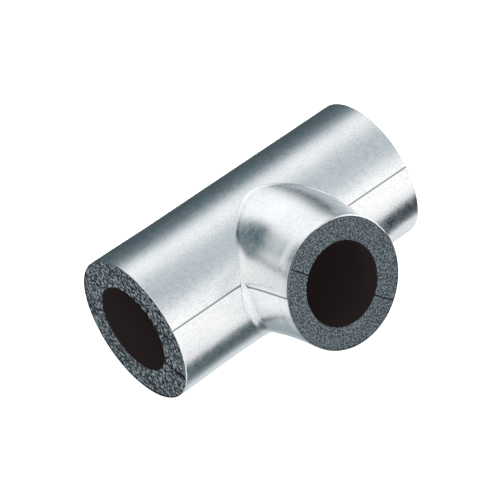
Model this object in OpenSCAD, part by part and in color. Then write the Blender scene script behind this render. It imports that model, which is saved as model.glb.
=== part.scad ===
// Clad pipe insulation tee: slit foam tubes joined with a saddle cut,
// under a thin metal foil laminate that laps over itself along each tube.
// Frame: origin where the run axis crosses the branch axis, X along the run,
// the branch leaves along -Y, Z up. Millimetres.

/* [Run tube] */
// Bore of the run foam, which grips the main pipe
run_bore_d = 60; // [58:1:70]
// Foam wall of the run
run_wall = 19; // [19:0.5:25]
// Length of the run, end face to end face
run_len = 198; // [150:1:300]

/* [Branch tube] */
// Bore of the branch foam, which grips the branch pipe
branch_bore_d = 55; // [35:1:56]
// Foam wall of the branch
branch_wall = 15; // [9:0.5:15]
// Distance from the run axis to the end face of the branch
branch_reach = 96.5; // [92:0.5:160]
// How far the branch swells out where it lands on the run
flare_h = 4.2; // [0.5:0.1:4.4]
// Distance from the run axis at which the swelling has died out
flare_end = 84; // [70:1:90]

/* [Slits] */
// Width of the slits that let the foam open around a pipe
slit_w = 0.6; // [0.2:0.1:1.5]
// Run slit, degrees above the branch side of the run
run_slit_a = -33; // [-60:1:-20]
// Branch split, degrees above the left side of the branch
branch_split_a = 44; // [25:1:60]

/* [Foil laminate] */
// Thickness of one layer of laminate
skin = 0.3; // [0.2:0.05:0.5]
// Free edge of the run lap, degrees above the branch side of the run
run_lap_a = 16; // [2:1:25]
// Free edge of the branch lap, degrees above the left side of the branch
branch_lap_a = 16; // [0:1:20]
// Angle over which the laminate climbs onto the layer below it
climb_a = 4; // [2:1:8]

/* [Hidden] */
$fn = 180;
run_bore_r = run_bore_d / 2;
run_r = run_bore_r + run_wall;
branch_bore_r = branch_bore_d / 2;
branch_r = branch_bore_r + branch_wall;
flare_start = 30;   // inside this distance from the run axis the swelling is full
root_d = 8;         // the branch's own material never reaches further in than this
steps = 12;
big = 400;

// Outer radius of the branch foam at distance d from the run axis
function swell(d) = d >= flare_end ? 0
    : flare_h * pow(sin(90 * min(1, (flare_end - d) / (flare_end - flare_start))), 1.2);
function branch_profile(extra, reach = branch_reach) = concat(
    [[branch_r + flare_h + extra, root_d]],
    [for (i = [0 : steps])
        let (d = flare_start + (flare_end - flare_start) * i / steps)
        [branch_r + swell(d) + extra, d]],
    [[branch_r + extra, reach]]);
function reversed(p) = [for (i = [len(p) - 1 : -1 : 0]) p[i]];

// Local Z becomes +X
module along_run() { rotate([0, 90, 0]) children(); }
// Local Z becomes -Y
module along_branch() { rotate([90, 0, 0]) children(); }

module run_rod(r, l = run_len) { along_run() cylinder(r = r, h = l, center = true); }

// Shell of the run between two radii, from angle a1 to a2 above the branch side
module run_arc(r0, r1, a1, a2, l = run_len) {
    along_run() rotate([0, 0, -90 - a2])
        rotate_extrude(angle = a2 - a1)
            translate([r0, -l / 2]) square([r1 - r0, l]);
}

// Solid of the branch foam before the bore, the saddle and the split
module branch_body() {
    along_branch() rotate_extrude()
        polygon(concat([[0, root_d]], branch_profile(0), [[0, branch_reach]]));
}

// Laminate around the branch between two offsets, all round
module branch_shell(e0, e1) {
    along_branch() rotate_extrude()
        polygon(concat(branch_profile(e1), reversed(branch_profile(e0))));
}

// The same between two angles above the left side, long enough to cut past the end face
module branch_shell_cut(e0, e1, a1, a2) {
    reach = branch_reach + 1;
    along_branch() rotate([0, 0, 180 - a2]) rotate_extrude(angle = a2 - a1)
        polygon(concat(branch_profile(e1, reach), reversed(branch_profile(e0, reach))));
}

// Plane cut along the run at angle a above the branch side, from the axis outwards
module run_cut(a) {
    rotate([-a, 0, 0])
        translate([-big / 2, -run_r - 5, -slit_w / 2]) cube([big, run_r + 5, slit_w]);
}

// Point of the run's cross-section at radius r, angle a above the branch side
function on_run(r, a) = [r * cos(-90 - a), r * sin(-90 - a)];

// Slope by which the laminate climbs from the foam onto its own first layer
module run_climb(l) {
    r = run_r + skin;
    a0 = run_slit_a - 2 * climb_a;
    a1 = run_slit_a - climb_a;
    along_run() linear_extrude(height = l, center = true)
        polygon([on_run(r - 0.03, a0), on_run(r + skin - 0.02, a1), on_run(r + skin * 0.7, a1 + 0.6),
                 on_run(r - skin * 0.7, a1 + 0.6), on_run(r - skin * 0.7, a0)]);
}

// One foam tube, slit along its full length, with the branch opening cut through its wall
module run_foam() {
    color("#444d55") difference() {
        run_rod(run_r);
        run_rod(run_bore_r, run_len + 2);
        run_cut(run_slit_a);
        along_branch() cylinder(r = branch_bore_r, h = run_r + 5);
    }
}

// Half of the saddle-cut branch tube: side 1 above the split, side -1 below it
module branch_half(side) {
    difference() {
        branch_body();
        along_branch() cylinder(r = branch_bore_r, h = branch_reach + 1);
        run_rod(run_r, big);
        rotate([0, branch_split_a, 0])
            translate([-big / 2, -big / 2, side > 0 ? -big + slit_w / 2 : -slit_w / 2])
                cube([big, big, big]);
    }
}

module branch_foam_upper() { color("#444d55") branch_half(1); }
module branch_foam_lower() { color("#4a535b") branch_half(-1); }

// Laminate on the run: one sheet from slit to slit, then over itself up to the lap's
// free edge. The lap's outer layer is trimmed back just clear of the branch.
module run_jacket() {
    r = run_r + skin;
    gap_a = slit_w / run_r * 28.65;
    bare = 2 * (branch_r + flare_h + skin + 0.7);
    l = (run_len - bare) / 2;
    color("#c9d1d6") union() {
        difference() {
            run_rod(r);
            run_rod(run_r, run_len + 2);
            run_arc(run_r - 1, r + 1, run_slit_a - gap_a, run_slit_a + gap_a, run_len + 2);
            branch_body();
        }
        for (side = [-1, 1]) translate([side * (bare + l) / 2, 0, 0]) {
            run_arc(r - skin / 2, r + skin, run_slit_a - climb_a, run_lap_a, l - 0.04);
            run_climb(l - 0.08);
        }
    }
}

// Laminate on the branch: follows the swelling, laps over its own slit on the left,
// and its root edge lies on the run's laminate
module branch_jacket() {
    top = branch_split_a + climb_a;
    gap_a = slit_w / branch_r * 28.65;
    color("#d3dade") difference() {
        branch_shell(0, 2 * skin);
        run_rod(run_r + skin, big);
        translate([0, big / 2, 0]) cube([big, big, big], center = true);
        // outside the lap only one layer is left
        branch_shell_cut(skin, 3, top + climb_a, 360 + branch_lap_a);
        branch_shell_cut(skin * 1.5, 3, top, top + climb_a + 1);
        // gap between the sheet's two ends, under the lap
        branch_shell_cut(-1, skin, branch_split_a - gap_a, branch_split_a + gap_a);
    }
}

run_foam();
branch_foam_upper();
branch_foam_lower();
run_jacket();
branch_jacket();
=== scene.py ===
"""Looks of the clad pipe insulation tee: slit foam tubes under a thin metal foil laminate.
Lengths in the shape functions are millimetres in the row frame: X along the run, the branch leaves along -Y, Z up."""

import math

import bmesh
import bpy
import numpy as np
from mathutils import Matrix, Vector


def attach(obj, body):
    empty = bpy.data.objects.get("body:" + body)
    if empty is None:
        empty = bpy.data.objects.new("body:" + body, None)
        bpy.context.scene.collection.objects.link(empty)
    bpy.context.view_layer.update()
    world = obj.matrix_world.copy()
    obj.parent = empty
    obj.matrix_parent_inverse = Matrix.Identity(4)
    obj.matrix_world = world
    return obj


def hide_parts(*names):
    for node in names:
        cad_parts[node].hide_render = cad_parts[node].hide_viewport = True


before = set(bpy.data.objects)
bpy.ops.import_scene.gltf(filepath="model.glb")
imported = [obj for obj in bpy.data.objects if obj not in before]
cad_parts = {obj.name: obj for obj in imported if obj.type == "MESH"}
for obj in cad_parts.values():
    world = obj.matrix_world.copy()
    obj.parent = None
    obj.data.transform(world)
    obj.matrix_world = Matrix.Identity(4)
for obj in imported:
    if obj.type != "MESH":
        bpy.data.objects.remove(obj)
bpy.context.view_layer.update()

MM = 0.001
scene = bpy.context.scene

# ---------------------------------------------------------------- camera
cam_data = bpy.data.cameras.new("camera")
cam = bpy.data.objects.new("camera", cam_data)
scene.collection.objects.link(cam)
cam_right = Vector((0.75112, -0.58498, -0.30597))
cam_up = Vector((0.50828, 0.21671, 0.83348))
cam_back = Vector((-0.42126, -0.78156, 0.46011))
cam.matrix_world = Matrix(
    (
        (cam_right.x, cam_up.x, cam_back.x, -1.59816),
        (cam_right.y, cam_up.y, cam_back.y, -2.96114),
        (cam_right.z, cam_up.z, cam_back.z, 1.74395),
        (0, 0, 0, 1),
    )
)
cam_data.sensor_width = 36
cam_data.lens = 429.5
cam_data.clip_start, cam_data.clip_end = 0.05, 60
scene.camera = cam
scene.view_settings.view_transform = "Standard"
scene.view_settings.look = "None"

# ---------------------------------------------------------------- sizes
RUN_R = 49.0  # foam of the run, outside
RUN_BORE = 30.0
RUN_END = 99.0
BR_R = 42.5  # foam of the branch, outside, at its end face
BR_BORE = 27.5
BR_END = 96.5
SKIN = 0.3  # one layer of laminate
ROLL = 0.75  # outer radius with which the laminate turns in over the foam at a cut end
SLIT = 0.6
RUN_SLIT = -33.0
BR_SPLIT = 44.0


# ---------------------------------------------------------------- noise
def lattice(i, j, k, seed):
    h = (i * 374761393 + j * 668265263 + k * 1440662683 + seed * 974634777) & 0xFFFFFFFF
    h = ((h ^ (h >> 13)) * 1274126177) & 0xFFFFFFFF
    h = ((h ^ (h >> 15)) * 2246822519) & 0xFFFFFFFF
    return ((h ^ (h >> 16)) & 0xFFFFFF) / float(0xFFFFFF)


def noise(p, size, seed=0):
    """Smooth value noise from -1 to 1 at points p, with lumps of about that size."""
    q = np.asarray(p, float) / size
    b = np.floor(q).astype(np.int64)
    f = q - b
    f = f * f * (3 - 2 * f)
    out = 0.0
    for dx in (0, 1):
        wx = f[..., 0] if dx else 1 - f[..., 0]
        for dy in (0, 1):
            wy = f[..., 1] if dy else 1 - f[..., 1]
            for dz in (0, 1):
                wz = f[..., 2] if dz else 1 - f[..., 2]
                out = out + wx * wy * wz * lattice(
                    b[..., 0] + dx, b[..., 1] + dy, b[..., 2] + dz, seed
                )
    return out * 2 - 1


def smooth(t):
    t = np.clip(t, 0, 1)
    return t * t * (3 - 2 * t)


# ---------------------------------------------------------------- meshes
def block(name, nu, nv, nw, place, slots, materials, close_v=False):
    """Closed skin of a lattice of nu x nv x nw points. place(i, j, k) gives the points, in mm.
    slots: material index of the faces at u0, u1, v0, v1, w0, w1."""
    mv = nv if not close_v else nv + 1

    def ident(i, j, k):
        return (i * nv + (j % nv if close_v else j)) * nw + k

    quads, slot_of = [], []

    def grid(na, nb, f, slot):
        a, b = np.meshgrid(np.arange(na - 1), np.arange(nb - 1), indexing="ij")
        a, b = a.ravel(), b.ravel()
        quads.append(
            np.stack([f(a, b), f(a + 1, b), f(a + 1, b + 1), f(a, b + 1)], axis=1)
        )
        slot_of.append(np.full(len(a), slot))

    grid(nw, mv, lambda a, b: ident(0, b, a), slots[0])
    grid(mv, nw, lambda a, b: ident(nu - 1, a, b), slots[1])
    if not close_v:
        grid(nu, nw, lambda a, b: ident(a, 0, b), slots[2])
        grid(nw, nu, lambda a, b: ident(b, nv - 1, a), slots[3])
    grid(mv, nu, lambda a, b: ident(b, a, 0), slots[4])
    grid(nu, mv, lambda a, b: ident(a, b, nw - 1), slots[5])
    quads = np.concatenate(quads)
    slot_of = np.concatenate(slot_of)
    used, flat = np.unique(quads, return_inverse=True)
    quads = flat.reshape(-1, 4)
    i, rest = used // (nv * nw), used % (nv * nw)
    co = np.asarray(place(i, rest // nw, rest % nw), float)
    # the skin's own volume says which way its faces turn
    p = co[quads]
    volume = np.einsum(
        "ij,ij->i", p[:, 0], np.cross(p[:, 1], p[:, 2])
    ).sum() + np.einsum("ij,ij->i", p[:, 0], np.cross(p[:, 2], p[:, 3])).sum()
    if volume < 0:
        quads = quads[:, ::-1]
    mesh = bpy.data.meshes.new(name)
    mesh.vertices.add(len(co))
    mesh.vertices.foreach_set("co", (co * MM).astype(np.float32).ravel())
    mesh.loops.add(quads.size)
    mesh.loops.foreach_set("vertex_index", quads.astype(np.int32).ravel())
    mesh.polygons.add(len(quads))
    mesh.polygons.foreach_set("loop_start", np.arange(0, quads.size, 4, dtype=np.int32))
    mesh.polygons.foreach_set("material_index", slot_of.astype(np.int32))
    mesh.update(calc_edges=True)
    mesh.validate()
    for m in materials:
        mesh.materials.append(m)
    obj = bpy.data.objects.new(name, mesh)
    scene.collection.objects.link(obj)
    return obj


def cut(obj, cutter):
    """Takes cutter's solid out of obj's mesh, for good."""
    mod = obj.modifiers.new("cut", "BOOLEAN")
    mod.operation = "DIFFERENCE"
    mod.solver = "MANIFOLD"
    mod.object = cutter
    bpy.context.view_layer.update()
    dg = bpy.context.evaluated_depsgraph_get()
    mesh = bpy.data.meshes.new_from_object(obj.evaluated_get(dg))
    obj.modifiers.remove(mod)
    # the cutter is a tube with a thin core along the branch's axis: what the core leaves standing goes too
    bm = bmesh.new()
    bm.from_mesh(mesh)
    left = [v for v in bm.verts if v.co.y < 0 and math.hypot(v.co.x - 0.002, v.co.z + 0.0005) < 0.004]
    bmesh.ops.delete(bm, geom=left, context="VERTS")
    bm.to_mesh(mesh)
    bm.free()
    old = obj.data
    obj.data = mesh
    bpy.data.meshes.remove(old)
    mesh.name = obj.name
    bpy.data.objects.remove(cutter)


def glue_and_painted_shade(obj, weight):
    """Writes the share of dark teal at each vertex: adhesive that shows along the laps, and painted shade at rims,
    crease and root. weight(co in mm) gives it.
    """
    mesh = obj.data
    co = np.zeros(len(mesh.vertices) * 3, np.float32)
    mesh.vertices.foreach_get("co", co)
    layer = mesh.attributes.new("glue_and_painted_shade", "FLOAT", "POINT")
    layer.data.foreach_set("value", np.asarray(weight(co.reshape(-1, 3) / MM), np.float32))


def finish_mesh(obj, angle):
    mesh = obj.data
    mesh.shade_smooth()
    mesh.set_sharp_from_angle(angle=math.radians(angle))
    return obj


def stations(lo, hi, step, fine=()):
    """Numbers from lo to hi about a step apart, with the fine ones put in."""
    base = np.linspace(lo, hi, max(2, int(round((hi - lo) / step)) + 1))
    if len(fine):
        fine = np.asarray(fine, float)
        near = np.abs(base[:, None] - fine[None, :]).min(1) < 0.3 * step
        near[0] = near[-1] = False
        base = np.sort(np.concatenate([base[~near], fine]))
    keep = np.concatenate([[True], np.diff(base) > 1e-6])
    return base[keep]


# ---------------------------------------------------------------- materials
def new_material(name):
    m = bpy.data.materials.new(name)
    m.use_nodes = True
    nt = m.node_tree
    for n in list(nt.nodes):
        nt.nodes.remove(n)
    out = nt.nodes.new("ShaderNodeOutputMaterial")
    bsdf = nt.nodes.new("ShaderNodeBsdfPrincipled")
    nt.links.new(bsdf.outputs["BSDF"], out.inputs["Surface"])
    return m, nt, bsdf


def add(nt, kind, values=None, **attrs):
    n = nt.nodes.new(kind)
    for k, v in attrs.items():
        setattr(n, k, v)
    for k, v in (values or {}).items():
        n.inputs[k].default_value = v
    return n


def maths(nt, op, a, b=None, c=None, clamp=False):
    n = add(nt, "ShaderNodeMath", operation=op, use_clamp=clamp)
    for i, v in enumerate((a, b, c)):
        if v is None:
            continue
        if isinstance(v, (int, float)):
            n.inputs[i].default_value = v
        else:
            nt.links.new(v, n.inputs[i])
    return n.outputs[0]


def ramp(nt, fac, stops, interpolation="LINEAR"):
    n = nt.nodes.new("ShaderNodeValToRGB")
    cr = n.color_ramp
    cr.interpolation = interpolation
    while len(cr.elements) > 1:
        cr.elements.remove(cr.elements[-1])
    for i, (pos, col) in enumerate(stops):
        e = cr.elements[0] if i == 0 else cr.elements.new(pos)
        e.position = pos
        e.color = (*col, 1)
    nt.links.new(fac, n.inputs["Fac"])
    return n.outputs["Color"]


def noise_tex(nt, vec, scale, detail=2.0, rough=0.5, distortion=0.0):
    n = add(
        nt,
        "ShaderNodeTexNoise",
        {"Scale": scale, "Detail": detail, "Roughness": rough, "Distortion": distortion},
    )
    nt.links.new(vec, n.inputs["Vector"])
    return n.outputs["Fac"]


def foil_material(name):
    """Satin aluminium laminate. A mesh attribute mixes in a dark teal. It is 1 along a lap's free edge, where a thin
    dark line of adhesive shows. In part it is painted shade: on the turned-in rims away from the light, along the
    branch's crease over the top, and in the hollow at the branch's root.
    """
    m, nt, bsdf = new_material(name)
    tc = nt.nodes.new("ShaderNodeTexCoord")
    obj = tc.outputs["Object"]
    grain = noise_tex(nt, obj, 1150, 1.5, 0.6)
    cloud = noise_tex(nt, obj, 38, 3, 0.55)
    mottle = noise_tex(nt, obj, 260, 3, 0.6)
    tone = maths(nt, "ADD", maths(nt, "MULTIPLY", mottle, 0.25), maths(nt, "MULTIPLY", cloud, 0.2))
    tone = maths(nt, "ADD", tone, maths(nt, "MULTIPLY", grain, 0.55))
    tint = ramp(
        nt,
        tone,
        [(0.37, (0.73, 0.75, 0.765)), (0.5, (0.91, 0.92, 0.925)), (0.63, (1.0, 1.0, 1.0))],
    )
    glue_and_painted_shade = add(nt, "ShaderNodeAttribute", attribute_name="glue_and_painted_shade")
    mix = add(nt, "ShaderNodeMix", data_type="RGBA", blend_type="MIX")
    nt.links.new(glue_and_painted_shade.outputs["Fac"], mix.inputs["Factor"])
    nt.links.new(tint, mix.inputs["A"])
    # dark teal of the adhesive, also used as painted shade on rims, crease and root hollow
    mix.inputs["B"].default_value = (0.2, 0.225, 0.235, 1)
    nt.links.new(mix.outputs["Result"], bsdf.inputs["Base Color"])
    bsdf.inputs["Metallic"].default_value = 1.0
    rough = add(nt, "ShaderNodeMapRange", {"From Min": 0.3, "From Max": 0.7, "To Min": 0.21, "To Max": 0.28})
    nt.links.new(mottle, rough.inputs["Value"])
    nt.links.new(rough.outputs["Result"], bsdf.inputs["Roughness"])
    b1 = add(nt, "ShaderNodeBump", {"Strength": 0.25, "Distance": 0.00003})
    nt.links.new(grain, b1.inputs["Height"])
    b2 = add(nt, "ShaderNodeBump", {"Strength": 0.25, "Distance": 0.00012})
    nt.links.new(mottle, b2.inputs["Height"])
    nt.links.new(b1.outputs["Normal"], b2.inputs["Normal"])
    nt.links.new(b2.outputs["Normal"], bsdf.inputs["Normal"])
    return m


def foam_material(name, size, ramp_stops):
    """Cut face of closed-cell rubber foam: fine lumps, pits and pale cell walls. size scales the cells."""
    m, nt, bsdf = new_material(name)
    tc = nt.nodes.new("ShaderNodeTexCoord")
    obj = tc.outputs["Object"]
    lumps = noise_tex(nt, obj, 800 / size, 1.2, 0.5)
    cells = add(nt, "ShaderNodeTexVoronoi", {"Scale": 640.0 / size, "Randomness": 1.0}, feature="F1")
    nt.links.new(obj, cells.inputs["Vector"])
    broad = noise_tex(nt, obj, 70, 3.0, 0.6)
    mixed = maths(
        nt,
        "ADD",
        maths(nt, "MULTIPLY_ADD", lumps, 1.5, -0.175),
        maths(nt, "ADD", maths(nt, "MULTIPLY", cells.outputs["Distance"], -0.30), maths(nt, "MULTIPLY", broad, 0.12)),
    )
    colour = ramp(nt, mixed, ramp_stops)
    nt.links.new(colour, bsdf.inputs["Base Color"])
    bsdf.inputs["Roughness"].default_value = 0.85
    bsdf.inputs["Specular IOR Level"].default_value = 0.25
    b = add(nt, "ShaderNodeBump", {"Strength": 0.6, "Distance": 0.0003})
    nt.links.new(mixed, b.inputs["Height"])
    nt.links.new(b.outputs["Normal"], bsdf.inputs["Normal"])
    return m


def bore_material():
    """Moulded skin of the foam inside the bores and on its outside: near black and dull, with a faint painted glow
    that lifts it to an even near black.
    """
    m, nt, bsdf = new_material("foam_skin_painted_glow")
    tc = nt.nodes.new("ShaderNodeTexCoord")
    obj = tc.outputs["Object"]
    fine = noise_tex(nt, obj, 900, 2.0, 0.6)
    broad = noise_tex(nt, obj, 60, 2.0, 0.5)
    colour = ramp(
        nt,
        maths(nt, "ADD", maths(nt, "MULTIPLY", fine, 0.6), maths(nt, "MULTIPLY", broad, 0.4)),
        [(0.3, (0.0082, 0.0064, 0.0066)), (0.7, (0.0118, 0.0088, 0.0092))],
    )
    nt.links.new(colour, bsdf.inputs["Base Color"])
    bsdf.inputs["Roughness"].default_value = 0.9
    bsdf.inputs["Specular IOR Level"].default_value = 0.05
    # painted glow: a faint emission that lifts the black of the bores evenly
    bsdf.inputs["Emission Color"].default_value = (0.0092, 0.0062, 0.0064, 1)
    bsdf.inputs["Emission Strength"].default_value = 1.0
    b = add(nt, "ShaderNodeBump", {"Strength": 0.4, "Distance": 0.0002})
    nt.links.new(fine, b.inputs["Height"])
    nt.links.new(b.outputs["Normal"], bsdf.inputs["Normal"])
    return m


foam_of_run = foam_material(
    "foam_cut_run",
    1.45,
    [
        (0.20, (0.002, 0.003, 0.004)),
        (0.36, (0.012, 0.017, 0.021)),
        (0.46, (0.032, 0.044, 0.052)),
        (0.56, (0.070, 0.088, 0.099)),
        (0.72, (0.18, 0.215, 0.23)),
    ],
)
foam_of_branch = foam_material(
    "foam_cut_branch",
    0.88,
    [
        (0.24, (0.014, 0.019, 0.022)),
        (0.36, (0.029, 0.039, 0.045)),
        (0.46, (0.050, 0.065, 0.074)),
        (0.56, (0.074, 0.093, 0.103)),
        (0.70, (0.125, 0.149, 0.161)),
    ],
)
skin_and_painted_glow = bore_material()
foil = foil_material("foil")


# ---------------------------------------------------------------- unevenness of the tubes
def settle_run(p):
    """The run sags a little low at the left end and is pressed flatter low at the right end."""
    x = p[:, 0]
    a = np.degrees(np.arctan2(p[:, 2], -p[:, 1]))
    low = smooth((12 - a) / 70) * smooth((a + 190) / 60)
    high = smooth((a - 20) / 60)
    left, right = smooth((-x - 50) / 44), smooth((x - 46) / 46)
    share = np.hypot(p[:, 1], p[:, 2]) / RUN_R
    p[:, 2] += share * (low * (3.0 * right - 1.2 * left) + 0.5 * high * left)
    skew = smooth((45 - a) / 65) * smooth((a + 190) / 60)
    p[:, 0] += smooth((x - 70) / 29) * (1.0 - 2.2 * skew)
    return p


def settle_branch(p):
    """The branch is a little taller than wide at its end face."""
    p[:, 2] *= 1 + 0.028 * smooth((-p[:, 1] - 55) / 42)
    return p


# ---------------------------------------------------------------- run foam
def grain_depth(p, seed):
    """How far a cut face lies below its plane, in mm: lumps about a millimetre across, and open cells."""
    lumps = 0.5 * noise(p, 1.15, seed) + 0.3 * noise(p, 0.62, seed + 1)
    pits = smooth((noise(p, 0.9, seed + 2) - 0.42) / 0.4)
    return 0.2 + 0.2 * lumps + 0.35 * pits


def ring_profile(n, r0, r1):
    return np.linspace(r0, r1, n)


FACE_IN = 0.45  # the cut face lies this far inside the laminate's turned-in end


def run_foam():
    ends = [0.0, 0.35, 0.9, 2.0, 4.5, 9.0, 18.0, 32.0, 48.0, 66.0]
    xs = np.concatenate([-RUN_END + FACE_IN + np.array(ends), [-16.0, 16.0], (RUN_END - FACE_IN - np.array(ends))[::-1]])
    na, nr = 600, 42
    lo, hi = RUN_SLIT, RUN_SLIT + 360
    angles = np.linspace(lo, hi, na)
    radial = np.linspace(0, 1, nr)
    n_x = len(xs)

    def place(i, j, k):
        x = xs[i]
        w = radial[k]
        face = (i == 0) | (i == n_x - 1)
        t = np.abs(x) - (RUN_END - ROLL)
        inner = ROLL - SKIN
        roll = np.where(t > 0, inner - np.sqrt(np.maximum(inner**2 - np.minimum(t, inner * 0.96) ** 2, 0)), 0)
        outer = RUN_R - 0.02 - roll - np.where(t > 0, 0.05, 0)
        r = RUN_BORE + w * (outer - RUN_BORE)
        # the slit is a knife cut: a little crooked, and wider towards the outside at the left end
        a = angles[j]
        side = np.where(a - lo < 180, 1.0, -1.0)
        near = 1 - smooth(np.minimum(a - lo, hi - a) / 14)
        left = smooth((-x - 60) / 39)
        crooked = (-2.6 * (1 - w) + 0.3 * np.sin(w * 9.0)) * left
        gap = SLIT / 2 + left * (0.75 + 0.3 * smooth((w - 0.5) / 0.5) + 0.4 * np.sin(w * 23.0 + side) + 0.25 * np.sin(w * 57.0 - side))
        a = a + near * crooked
        shut = np.degrees(gap / r) * side * np.where((j == 0) | (j == na - 1), 1.0, near)
        a = np.radians(a + shut)
        # the bore sits a little off centre at the left end, as such tubes are skived
        off = (1 - w) * smooth((-x - 45) / 54)
        p = np.stack([x, -r * np.cos(a) + 2.4 * off, r * np.sin(a) - 0.4 * off], axis=-1)
        # cut faces
        depth = grain_depth(p, 11)
        depth = np.where((w < 0.001) | (w > 0.999), depth * 0.6, depth)
        pit = np.hypot(p[:, 1] + 26.9, p[:, 2] + 24.3)
        depth = depth + np.where(x < 0, 1.5 * (1 - smooth((pit - 0.5) / 0.9)), 0)
        p[:, 0] -= np.where(face, np.sign(x) * np.clip(depth, 0, 2.2), 0)
        # nick in the bore's edge at the left end
        nick = np.exp(-(((np.degrees(np.arctan2(p[:, 2], -p[:, 1])) - 10.6) / 1.7) ** 2)) * np.where(x < 0, 1, 0)
        nick = nick * np.exp(-np.maximum(np.abs(RUN_END - np.abs(x)) - 0.5, 0) / 1.5)
        push = 1 + 1.7 * nick * (1 - w) ** 6 / RUN_BORE
        p[:, 1] *= push
        p[:, 2] *= push
        # the bore's edge is a little ragged
        rag = 1 + np.where(k == 0, 0.25 * noise(p, 1.4, 31) * face, 0) / RUN_BORE
        p[:, 1] *= rag
        p[:, 2] *= rag
        return settle_run(p)

    o = block("foam_run", n_x, na, nr, place, (0, 0, 1, 1, 1, 1), (foam_of_run, skin_and_painted_glow))
    bore = block(
        "bore_cut",
        2,
        160,
        2,
        lambda i, j, k: np.stack(
            [
                np.where(k == 0, 0.5, BR_BORE) * np.cos(2 * np.pi * j / 160),
                np.where(i == 0, -5.0, -60.0),
                np.where(k == 0, 0.5, BR_BORE) * np.sin(2 * np.pi * j / 160),
            ],
            axis=-1,
        ),
        (0,) * 6,
        (skin_and_painted_glow,),
        close_v=True,
    )
    cut(o, bore)
    return finish_mesh(o, 62)


# ---------------------------------------------------------------- branch shape
def swell(d):
    t = np.clip((84 - np.asarray(d, float)) / 54, 0, 1)
    return 4.2 * np.sin(np.pi / 2 * t) ** 1.2


def lean(d):
    """The hand-shaped root sits a little to one side of the branch's own axis."""
    f = smooth((92 - np.asarray(d, float)) / 40)
    return 4.0 * f, -1.0 * f


def on_branch(r, d, theta):
    """Point at radius r, distance d from the run's axis, theta degrees above the left side."""
    t = np.radians(theta)
    sx, sz = lean(d)
    return np.stack([-r * np.cos(t) + sx, -d, r * np.sin(t) + sz], axis=-1)


def inner_root(r, theta, root):
    z = r * np.sin(np.radians(theta))
    return np.sqrt(np.maximum(root**2 - z**2, 1.0))


def branch_half(name, upper, seed):
    na, nr = 330, 36
    radial = np.linspace(0, 1, nr)
    us = np.concatenate([[0, 0.02], np.linspace(0.06, 0.9, 16), [0.95, 0.975, 0.984, 0.99, 0.995, 1.0]])
    # the cut runs from 42 degrees on the left to 226 on the right, just under the axis
    first, last = (42.0, 226.0) if upper else (226.0, 402.0)
    thetas = np.linspace(first, last, na)
    end = BR_END - FACE_IN

    def place(i, j, k):
        w, u, th = radial[k], us[i], thetas[j]
        front = smooth((u - 0.9) / 0.1)
        gap = SLIT / 2 * (1 + front * (0.5 + 0.4 * np.sin(w * 17.0 + 3.0 * seed)))
        gap = np.where(w < 0.02, gap * (0.1 + 0.9 * front), gap)
        side = np.where(j < na / 2, 1.0, -1.0)
        near = 1 - smooth(np.minimum(th - first, last - th) / 9)
        r_root = BR_BORE + w * (BR_R + 4.0 - BR_BORE)
        th = th + np.degrees(gap / np.maximum(r_root, 1)) * side * near
        # at the root the foam stands on the run's foam
        r = r_root
        for _ in range(8):
            d0 = inner_root(r, th, RUN_R + 0.03)
            r = BR_BORE + w * (BR_R - 0.02 + swell(d0) - BR_BORE)
        for _ in range(4):
            z = r * np.sin(np.radians(th)) + lean(d0)[1] * w
            d0 = np.sqrt(np.maximum((RUN_R + 0.03) ** 2 - z**2, 1.0))
            r = BR_BORE + w * (BR_R - 0.02 + swell(d0) - BR_BORE)
        d = d0 + u * (end - d0)
        turn = branch_turn(th)
        t = d - (BR_END - turn)
        inner = turn - SKIN
        roll = np.where(t > 0, inner - np.sqrt(np.maximum(inner**2 - np.minimum(t, inner * 0.96) ** 2, 0)) + 0.05, 0)
        r = BR_BORE + w * (BR_R - 0.02 + swell(d) - roll - BR_BORE)
        sx, sz = lean(d)
        t = np.radians(th)
        off = (1 - w) * smooth((d - 60) / 30)
        p = np.stack([-r * np.cos(t) + sx * w - 0.9 * off, -d, r * np.sin(t) + sz * w - 0.3 * off], axis=-1)
        face = i == len(us) - 1
        depth = grain_depth(p, seed)
        depth = np.where((w < 0.001) | (w > 0.999), depth * 0.6, depth)
        p[:, 1] += np.where(face, depth, 0)
        return settle_branch(p)

    o = block(name, len(us), na, nr, place, (1, 0, 1, 1, 1, 1), (foam_of_branch, skin_and_painted_glow))
    return finish_mesh(o, 62)


# ---------------------------------------------------------------- jackets
def sheet_wave(p, seed=5):
    """Soft unevenness of foil stuck to foam by hand, in mm."""
    return 0.05 * noise(p, 38.0, seed) + 0.03 * noise(p, 17.0, seed + 1)


BETA = np.radians([0, 12, 24, 36, 48, 60, 72])


def run_edge(x):
    """Angle of the run lap's free edge above the branch side: a little higher beyond the branch."""
    return 13.6 + 4.0 * smooth((np.asarray(x, float) + 45) / 90)


def branch_edge(d):
    """Angle of the branch lap's free edge above the left side. It runs down towards the root."""
    return 13.9 + 0.085 * (np.clip(d, 46, 97) - 52)


def line(away, half, soft):
    """1 within half mm of an edge, 0 beyond half + soft."""
    return 1 - smooth((np.abs(away) - half) / soft)


def window(a, lo, hi, soft):
    """1 between two angles, 0 outside by more than soft."""
    a = (np.asarray(a, float) + 180) % 360 - 180
    return smooth((a - lo + soft) / soft) * smooth((hi + soft - a) / soft)


def left_rim(a):
    return window(a, -44, 96, 14)


def branch_rim(theta):
    return window(theta, 86, 158, 10)


def branch_turn(theta):
    """Outer radius with which the branch's sheet turns in at the end face."""
    return 0.36 + 0.9 * branch_rim(theta)


RUN_FOOT = 360 + RUN_SLIT - 16.0  # where the run's sheet starts to climb onto its own first turn


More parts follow.
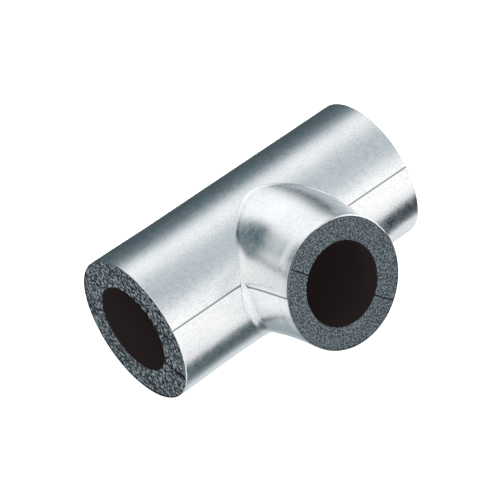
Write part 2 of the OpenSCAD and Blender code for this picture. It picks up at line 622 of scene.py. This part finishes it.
def run_jacket():
    mid = stations(-RUN_END + 1.2, RUN_END - 1.2, 2.2)
    n_t, n_m = len(BETA), len(mid)
    n_x = 2 * n_t + n_m
    start, stop = RUN_SLIT + 0.5, 372.0
    fine = [10.6, 11.1, 11.45, 11.7, 11.87, 12.0, 12.13, 12.3, 12.55, 12.9, 13.4]
    psi = stations(start, stop, 1.9, fine + [371.1, 371.5, 371.75, 371.9])

    def place(i, j, k):
        out = k == 1
        a = psi[j]
        at_left, at_right = i < n_t, i >= n_t + n_m
        turn = np.where(at_left, 0.34 + 0.2 * left_rim(a), 0.6)
        bend = np.where(out, turn, np.maximum(turn - SKIN, 0.04))
        beta = np.where(at_left, BETA[np.clip(n_t - 1 - i, 0, n_t - 1)], BETA[np.clip(i - n_t - n_m, 0, n_t - 1)])
        x_turn = (RUN_END - turn + bend * np.sin(beta)) * np.where(at_left, -1.0, 1.0)
        x = np.where(at_left | at_right, x_turn, mid[np.clip(i - n_t, 0, n_m - 1)])
        drop = np.where(at_left | at_right, bend * (1 - np.cos(beta)), 0.0)
        pull = np.where(a < 180, 1 - smooth(np.abs(a - 12) / 24), 1 - smooth((372 - a) / 24))
        a = a + pull * (run_edge(x) - 12.0)
        t = np.radians(a)
        # the second turn lies on the first, with a hair of glue between them
        up = (SKIN + 0.03) * smooth((psi[j] - RUN_FOOT) / 14.0)
        # towards its free edge the lap lifts by a hair
        up = up + 0.07 * smooth((psi[j] - 369.5) / 2.5)
        base = np.stack([x, -RUN_R * np.cos(t), RUN_R * np.sin(t)], axis=-1)
        r = RUN_R + 0.02 + np.where(out, SKIN, 0) + up - drop + sheet_wave(base)
        return settle_run(np.stack([x, -r * np.cos(t), r * np.sin(t)], axis=-1))

    o = block("jacket_run", n_x, len(psi), 2, place, (0,) * 6, (foil,))
    ds = np.concatenate([[8.0], np.linspace(14, 62, 13)])
    cutter = block(
        "jacket_cut",
        len(ds),
        200,
        2,
        lambda i, j, k: on_branch(np.where(k == 0, 0.5, BR_R + 0.12 + swell(ds[i])), ds[i], 1.8 * j),
        (0,) * 6,
        (foil,),
        close_v=True,
    )
    cut(o, cutter)

    def weight(p):
        a = np.degrees(np.arctan2(p[:, 2], -p[:, 1]))
        away = np.radians(a - run_edge(p[:, 0])) * RUN_R
        lap = 0.8 * line(away, 0.22, 0.42) * (np.hypot(p[:, 1], p[:, 2]) > RUN_R + 0.2)
        # painted shade: the left end's turned-in rim is darkened where it turns away from the light
        painted_rim_shade = smooth((-p[:, 0] - (RUN_END - 0.5)) / 0.2) * (1 - left_rim(a))
        return np.maximum(lap, painted_rim_shade)

    glue_and_painted_shade(o, weight)
    return finish_mesh(o, 35)


def root_fillet(theta):
    """Radius with which the branch's sheet turns out onto the run: a crease over the top, a soft hollow low on the left."""
    t = (np.asarray(theta, float) + 180) % 360 - 180
    return 0.9 + 4.6 * smooth((30 - t) / 38) * smooth((t + 95) / 45)


def under_root(theta, x_side):
    """Height of the run's laminate above its foam below the branch's root."""
    t = (np.asarray(theta, float) + 180) % 360 - 180
    a = np.degrees(np.arcsin(np.clip(46.0 * np.sin(np.radians(t)) / 49.5, -1, 1)))
    edge = np.where(x_side < 0, 13.6, 17.6)
    lap = smooth((edge + 1.6 - a) / 1.6) * smooth((a + 49.0) / 14.0)
    return SKIN + 0.02 + 0.35 * lap


def branch_jacket():
    flange = np.radians(np.linspace(90, 0, 9))
    us = np.concatenate([np.linspace(0, 0.97, 34)[1:], [0.99, 1.0]])
    n_f, n_u, n_b = len(flange), len(us), len(BETA) - 1
    start, stop = BR_SPLIT - 0.5, 15.0 - 360.0  # from the split down and round, then on over itself
    fine = [16.6, 16.0, 15.6, 15.33, 15.15, 15.0, 14.85, 14.67, 14.4, 14.0, 13.4]
    psi = -stations(-start, -stop, 2.0, [-x for x in fine] + [344.0, 344.45, 344.75, 344.9])
    climb0 = BR_SPLIT - 360.0 + 14.0

    def place(i, j, k):
        out = k == 1
        th0 = psi[j]
        pull = np.where(th0 > -180, 1 - smooth(np.abs(th0 - 15) / 26), 1 - smooth((th0 + 345) / 26))
        up = (SKIN + 0.03) * smooth((climb0 - th0) / 12.0)
        up = up + 0.06 * smooth((-342.5 - th0) / 2.5)
        off = np.where(out, SKIN, 0.0) + 0.02 + up
        phi = flange[np.clip(i, 0, n_f - 1)]
        d = np.full(np.shape(th0), 50.0)
        for _ in range(40):
            th = th0 + pull * (branch_edge(d) - 15.0)
            rho = root_fillet(th) - np.where(out, SKIN, 0.0) - up
            # the sheet is pressed down on the run at its edge
            full = 0.1 + np.where(out, SKIN, 0.0) + up
            tip = 0.03 + np.where(out, 0.05, 0.0) + 0.08 * up / (SKIN + 0.03)
            flat = smooth((phi - 0.25) / 1.32)
            foot = RUN_R + under_root(th, -np.cos(np.radians(th))) + full + (tip - full) * flat
            r = BR_R + swell(d) + off + rho * (1 - np.cos(phi))
            z = r * np.sin(np.radians(th)) + lean(d)[1]
            d_run = np.sqrt(np.maximum(foot**2 - z**2, 1.0))
            d = 0.4 * d + 0.6 * (d_run + rho * (1 - np.sin(phi)))
        d_end = BR_END - 1.26
        u = us[np.clip(i - n_f, 0, n_u - 1)]
        on_straight = (i >= n_f) & (i < n_f + n_u)
        d_long = d + u * (d_end - d)  # d holds the start of the straight part where phi is 0
        beta = BETA[np.clip(i - n_f - n_u + 1, 0, n_b)]
        turn = branch_turn(th0)
        rad = np.where(out, turn, np.maximum(turn - SKIN, 0.04))
        last = BR_END - turn
        at = np.where(i < n_f, d, np.where(on_straight, d_long, last + rad * np.sin(beta)))
        drop = np.where(i >= n_f + n_u, rad * (1 - np.cos(beta)), 0)
        th = th0 + pull * (branch_edge(at) - 15.0)
        base = on_branch(BR_R + swell(at), at, th)
        r = BR_R + swell(at) + off - drop + np.where(i < n_f, rho * (1 - np.cos(phi)), 0)
        r = r + sheet_wave(base, 9) * np.where(i < n_f, np.cos(phi), 1)
        return settle_branch(on_branch(r, at, th))

    o = block("jacket_branch", n_f + n_u + n_b, len(psi), 2, place, (0,) * 6, (foil,))

    def weight(p):
        d = -p[:, 1]
        sx, sz = lean(d)
        y, x = p[:, 2] - sz, -(p[:, 0] - sx)
        away = np.radians(np.degrees(np.arctan2(y, x)) - branch_edge(d)) * np.hypot(x, y)
        # the lap's dark line of adhesive widens near the root: painted shadow under the corner of the lap there
        near = 1 - smooth((d - 50.0) / 6.0)
        show = (np.hypot(x, y) > BR_R + swell(d) + 0.2) & (d < BR_END - 0.3) & (np.hypot(p[:, 1], p[:, 2]) > RUN_R + 3.2)
        lap = line(away, 0.4 + 0.45 * near, 0.5) * show
        theta = np.degrees(np.arctan2(y, x))
        # painted shade: the turned-in rim at the branch's end face is darkened except over the top and right, where
        # it catches the light
        painted_rim_shade = smooth((d - (BR_END - 0.5)) / 0.2) * (1 - branch_rim(theta))
        low = np.hypot(p[:, 1], p[:, 2]) - RUN_R - under_root(theta, p[:, 0])
        # painted shade: a dark line at the sheet's pressed tip over the top and right stands in for shade in the
        # crease
        edge = 0.35 * smooth((0.25 - low) / 0.1) * window(theta, 40, 175, 20)
        # painted shade: a light darkening in the hollow where the sheet turns out onto the run, on the left side of
        # the root
        painted_fold_shade = 0.14 * smooth((3.2 - low) / 2.4) * window(theta, -55, 72, 16)
        return np.maximum(np.maximum(lap, painted_rim_shade), np.maximum(edge, painted_fold_shade))

    glue_and_painted_shade(o, weight)
    return finish_mesh(o, 35)


pieces = {
    "run_foam": run_foam(),
    "branch_foam_upper": branch_half("foam_branch_upper", True, 41),
    "branch_foam_lower": branch_half("foam_branch_lower", False, 42),
    "run_jacket": run_jacket(),
    "branch_jacket": branch_jacket(),
}
for node, piece in pieces.items():
    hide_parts(node)
    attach(piece, "root")


# ---------------------------------------------------------------- floor and light
def plane(name, corners, material):
    mesh = bpy.data.meshes.new(name)
    mesh.from_pydata(corners, [], [tuple(range(len(corners)))])
    mesh.update()
    mesh.materials.append(material)
    o = bpy.data.objects.new(name, mesh)
    scene.collection.objects.link(o)
    return o


floor_mat, nt, bsdf = new_material("floor_paper")
tc = nt.nodes.new("ShaderNodeTexCoord")
tone = ramp(nt, noise_tex(nt, tc.outputs["Object"], 8, 3), [(0.3, (0.9, 0.9, 0.9)), (0.7, (0.93, 0.93, 0.93))])
nt.links.new(tone, bsdf.inputs["Base Color"])
bsdf.inputs["Roughness"].default_value = 1.0
bsdf.inputs["Specular IOR Level"].default_value = 0.0
floor = plane("floor", [(-9, -9, -0.0506), (9, -9, -0.0506), (9, 9, -0.0506), (-9, 9, -0.0506)], floor_mat)
floor.visible_glossy = False

# a dark flag low in front, seen only as the soft dark band along the run's lower flank
flag_mat = bpy.data.materials.new("flag")
flag_mat.use_nodes = True
nt = flag_mat.node_tree
for n in list(nt.nodes):
    nt.nodes.remove(n)
out = nt.nodes.new("ShaderNodeOutputMaterial")
tc = nt.nodes.new("ShaderNodeTexCoord")
sep = nt.nodes.new("ShaderNodeSeparateXYZ")
nt.links.new(tc.outputs["Object"], sep.inputs[0])
em = add(nt, "ShaderNodeEmission", {"Strength": 1.0})
shade = add(nt, "ShaderNodeMapRange", {"From Min": 0.04, "From Max": 0.2, "To Min": 0.0, "To Max": 1.0})
nt.links.new(sep.outputs[0], shade.inputs["Value"])
dark = ramp(
    nt,
    shade.outputs["Result"],
    [
        (0.0, (0.078, 0.114, 0.132)),
        (0.38, (0.078, 0.114, 0.132)),
        (0.5, (0.68, 0.74, 0.76)),
        (0.76, (0.68, 0.74, 0.76)),
        (0.9, (0.0, 0.020, 0.038)),
    ],
)
fade = add(nt, "ShaderNodeMapRange", {"From Min": -0.045, "From Max": 0.075, "To Min": 0.0, "To Max": 1.0})
nt.links.new(sep.outputs[1], fade.inputs["Value"])
soft = add(nt, "ShaderNodeMix", data_type="RGBA", blend_type="MIX")
nt.links.new(fade.outputs["Result"], soft.inputs["Factor"])
nt.links.new(dark, soft.inputs["A"])
soft.inputs["B"].default_value = (0.72, 0.78, 0.80, 1)
under = add(nt, "ShaderNodeMapRange", {"From Min": 0.0, "From Max": -0.025, "To Min": 0.0, "To Max": 1.0})
nt.links.new(sep.outputs[0], under.inputs["Value"])
low = add(nt, "ShaderNodeMix", data_type="RGBA", blend_type="MIX")
nt.links.new(under.outputs["Result"], low.inputs["Factor"])
nt.links.new(soft.outputs["Result"], low.inputs["A"])
low.inputs["B"].default_value = (0.10, 0.145, 0.165, 1)
nt.links.new(low.outputs["Result"], em.inputs["Color"])
nt.links.new(em.outputs[0], out.inputs["Surface"])
flag = plane(
    "flag",
    [
        (-0.045, -0.172, -0.25),
        (0.068, -0.172, -0.25),
        (0.271, -0.310, -0.25),
        (0.42, -0.410, -0.25),
        (0.42, -0.200, -0.25),
        (0.207, -0.062, -0.25),
        (0.100, 0.010, -0.25),
        (0.100, 0.105, -0.25),
        (0.005, 0.105, -0.25),
        (0.005, 0.165, -0.25),
        (-0.135, 0.165, -0.25),
        (-0.135, -0.005, -0.25),
        (-0.045, -0.034, -0.25),
    ],
    flag_mat,
)
flag.visible_camera = False
flag.visible_diffuse = False
flag.visible_shadow = False
flag.visible_transmission = False

world = bpy.data.worlds.new("studio")
scene.world = world
world.use_nodes = True
nt = world.node_tree
for n in list(nt.nodes):
    nt.nodes.remove(n)
out = nt.nodes.new("ShaderNodeOutputWorld")
tc = nt.nodes.new("ShaderNodeTexCoord")
sep = nt.nodes.new("ShaderNodeSeparateXYZ")
nt.links.new(tc.outputs["Generated"], sep.inputs[0])
turn = maths(nt, "ARCTAN2", sep.outputs[2], maths(nt, "MULTIPLY", sep.outputs[1], -1.0))
turn = maths(nt, "MULTIPLY_ADD", turn, 1 / (2 * math.pi), 0.5)


def deg(a):
    return (a + 180) / 360.0


def grey(v):
    """Studio grey: the darker, the bluer."""
    at = (0.15, 0.25, 0.31, 0.41, 0.53, 0.65, 0.85, 1.0)
    red = float(np.interp(v, at, (0.70, 0.79, 0.82, 0.85, 0.89, 0.92, 0.97, 1.0)))
    blue = float(np.interp(v, at, (1.15, 1.13, 1.105, 1.09, 1.07, 1.04, 1.02, 1.0)))
    return (v * red, v, v * blue)


def add_range(nt, value, lo, hi):
    """0 at lo, 1 at hi, smooth between."""
    n = add(nt, "ShaderNodeMapRange", {"From Min": lo, "From Max": hi, "To Min": 0.0, "To Max": 1.0})
    n.interpolation_type = "SMOOTHSTEP"
    n.clamp = True
    nt.links.new(value, n.inputs["Value"])
    return n.outputs["Result"]


SKY = [
    (-180, 0.09),
    (-166, 0.085),
    (-152, 0.45),
    (-140, 0.80),
    (-120, 0.82),
    (-100, 0.90),
    (-75, 0.90),
    (-50, 0.95),
    (-20, 1.09),
    (10, 1.12),
    (22, 0.90),
    (36, 0.62),
    (50, 0.56),
    (66, 0.58),
    (80, 0.72),
    (92, 0.96),
    (106, 1.05),
    (117, 0.82),
    (129, 0.36),
    (140, 0.175),
    (154, 0.125),
    (170, 0.10),
    (180, 0.09),
]
sky = ramp(nt, turn, [(deg(a), grey(v)) for a, v in SKY])
reflected = add(nt, "ShaderNodeBackground", {"Strength": 1.0})
# the grey part overhead is narrower on the left, the low back is darker, and the low front brighter
left_up = maths(
    nt,
    "MULTIPLY",
    add_range(nt, sep.outputs[0], 0.10, -0.45),
    maths(nt, "MULTIPLY", add_range(nt, turn, deg(12), deg(30)), add_range(nt, turn, deg(122), deg(98))),
)
low_back = maths(
    nt,
    "MULTIPLY",
    maths(nt, "MULTIPLY", add_range(nt, sep.outputs[0], 0.36, 0.05), add_range(nt, sep.outputs[0], -0.42, -0.06)),
    add_range(nt, turn, deg(-118), deg(-138)),
)
left_front = maths(
    nt,
    "MULTIPLY",
    add_range(nt, sep.outputs[0], -0.12, -0.35),
    maths(nt, "MULTIPLY", add_range(nt, turn, deg(-92), deg(-48)), add_range(nt, turn, deg(25), deg(5))),
)
m1 = add(nt, "ShaderNodeMix", data_type="RGBA", blend_type="MIX")
nt.links.new(left_up, m1.inputs["Factor"])
nt.links.new(sky, m1.inputs["A"])
m1.inputs["B"].default_value = (*grey(1.0), 1)
m2 = add(nt, "ShaderNodeMix", data_type="RGBA", blend_type="MIX")
nt.links.new(low_back, m2.inputs["Factor"])
nt.links.new(m1.outputs["Result"], m2.inputs["A"])
m2.inputs["B"].default_value = (*grey(0.36), 1)
m3 = add(nt, "ShaderNodeMix", data_type="RGBA", blend_type="MIX")
nt.links.new(left_front, m3.inputs["Factor"])
nt.links.new(m2.outputs["Result"], m3.inputs["A"])
m3.inputs["B"].default_value = (1.13, 1.13, 1.13, 1)


def patch(nt, colour, value, factors):
    """The colour, but value where all factors are 1."""
    f = factors[0]
    for g in factors[1:]:
        f = maths(nt, "MULTIPLY", f, g)
    m = add(nt, "ShaderNodeMix", data_type="RGBA", blend_type="MIX")
    nt.links.new(f, m.inputs["Factor"])
    nt.links.new(colour, m.inputs["A"])
    m.inputs["B"].default_value = (*value, 1)
    return m.outputs["Result"]


across = sep.outputs[0]
# dark corner high on the left, grey corner high on the right, bright wall far on the right
colour = patch(
    nt,
    m3.outputs["Result"],
    (0.0, 0.055, 0.075),
    [
        add_range(nt, across, 0.0, -0.16),
        add_range(nt, across, -0.50, -0.35),
        add_range(nt, turn, deg(64), deg(104)),
        add_range(nt, turn, deg(165), deg(142)),
    ],
)
colour = patch(
    nt,
    colour,
    grey(0.50),
    [
        add_range(nt, across, 0.47, 0.60),
        add_range(nt, turn, deg(58), deg(76)),
        add_range(nt, turn, deg(134), deg(118)),
    ],
)
colour = patch(nt, colour, (1.25, 1.25, 1.25), [add_range(nt, across, 0.76, 0.86)])
nt.links.new(colour, reflected.inputs["Color"])
nt.links.new(reflected.outputs[0], out.inputs["Surface"])


def softbox(name, place, target, size, power, glossy=False):
    data = bpy.data.lights.new(name, "AREA")
    data.shape = "SQUARE"
    data.size = size
    data.energy = power
    o = bpy.data.objects.new(name, data)
    scene.collection.objects.link(o)
    o.location = place
    o.rotation_mode = "QUATERNION"
    o.rotation_quaternion = (Vector(target) - Vector(place)).to_track_quat("-Z", "Y")
    o.visible_glossy = glossy
    return o


softbox("key", (-0.9, -1.1, 1.7), (0, 0, 0), 1.6, 22)

# light for the floor alone, so that it stays pale round the part
only_floor = bpy.data.collections.new("only_floor")
only_floor.objects.link(floor)
wash = softbox("wash", (0.0, 0.0, 3.0), (0, 0, 0), 4.0, 160)
wash.data.use_shadow = False
wash.light_linking.receiver_collection = only_floor

# a soft bright sheet high behind, which only the branch's jacket mirrors
only_branch = bpy.data.collections.new("only_branch")
only_branch.objects.link(pieces["branch_jacket"])


def heading(turn_deg, side_deg):
    """Unit direction turned turn_deg about the run's axis from the branch side, and side_deg towards +X."""
    t, e = math.radians(turn_deg), math.radians(side_deg)
    return Vector((math.sin(e), -math.cos(t) * math.cos(e), math.sin(t) * math.cos(e)))


size = 6.6
sheet = softbox("bright_sheet", heading(146, 3) * 3.0, (0, 0, 0), size, math.pi * size * size, glossy=True)
sheet.light_linking.receiver_collection = only_branch
sheet.data.use_nodes = True
nt = sheet.data.node_tree
for n in list(nt.nodes):
    nt.nodes.remove(n)
out = nt.nodes.new("ShaderNodeOutputLight")
geo = nt.nodes.new("ShaderNodeNewGeometry")
unit = add(nt, "ShaderNodeVectorMath", operation="NORMALIZE")
nt.links.new(geo.outputs["Position"], unit.inputs[0])
sep = nt.nodes.new("ShaderNodeSeparateXYZ")
nt.links.new(unit.outputs[0], sep.inputs[0])
turn = maths(nt, "ARCTAN2", sep.outputs[2], maths(nt, "MULTIPLY", sep.outputs[1], -1.0))
turn = maths(nt, "MULTIPLY_ADD", turn, 1 / (2 * math.pi), 0.5)
side = maths(nt, "MULTIPLY", maths(nt, "ARCSINE", sep.outputs[0]), 180 / math.pi)


def towards(nt, vec, direction, inner, outer):
    """1 within inner degrees of a direction, 0 beyond outer."""
    dot = add(nt, "ShaderNodeVectorMath", operation="DOT_PRODUCT")
    nt.links.new(vec, dot.inputs[0])
    dot.inputs[1].default_value = direction
    away = maths(nt, "MULTIPLY", maths(nt, "ARCCOSINE", dot.outputs["Value"]), 180 / math.pi)
    return add_range(nt, away, outer, inner)


edges = [
    add_range(nt, turn, deg(106), deg(128)),
    add_range(nt, side, -44, -27),
    add_range(nt, side, 46, 30),
    maths(nt, "MULTIPLY_ADD", towards(nt, unit.outputs[0], heading(119, -31), 23, 34), -1.0, 1.0),
]
edges.append(add_range(nt, turn, deg(179), deg(162)))
edges.append(add_range(nt, sep.outputs[2], -0.06, 0.02))
glow = maths(nt, "MULTIPLY", edges[0], 0.84)
for e in edges[1:]:
    glow = maths(nt, "MULTIPLY", glow, e)
em = add(nt, "ShaderNodeEmission", {"Color": (1.03, 1.0, 0.985, 1)})
nt.links.new(glow, em.inputs["Strength"])
nt.links.new(em.outputs[0], out.inputs["Surface"])
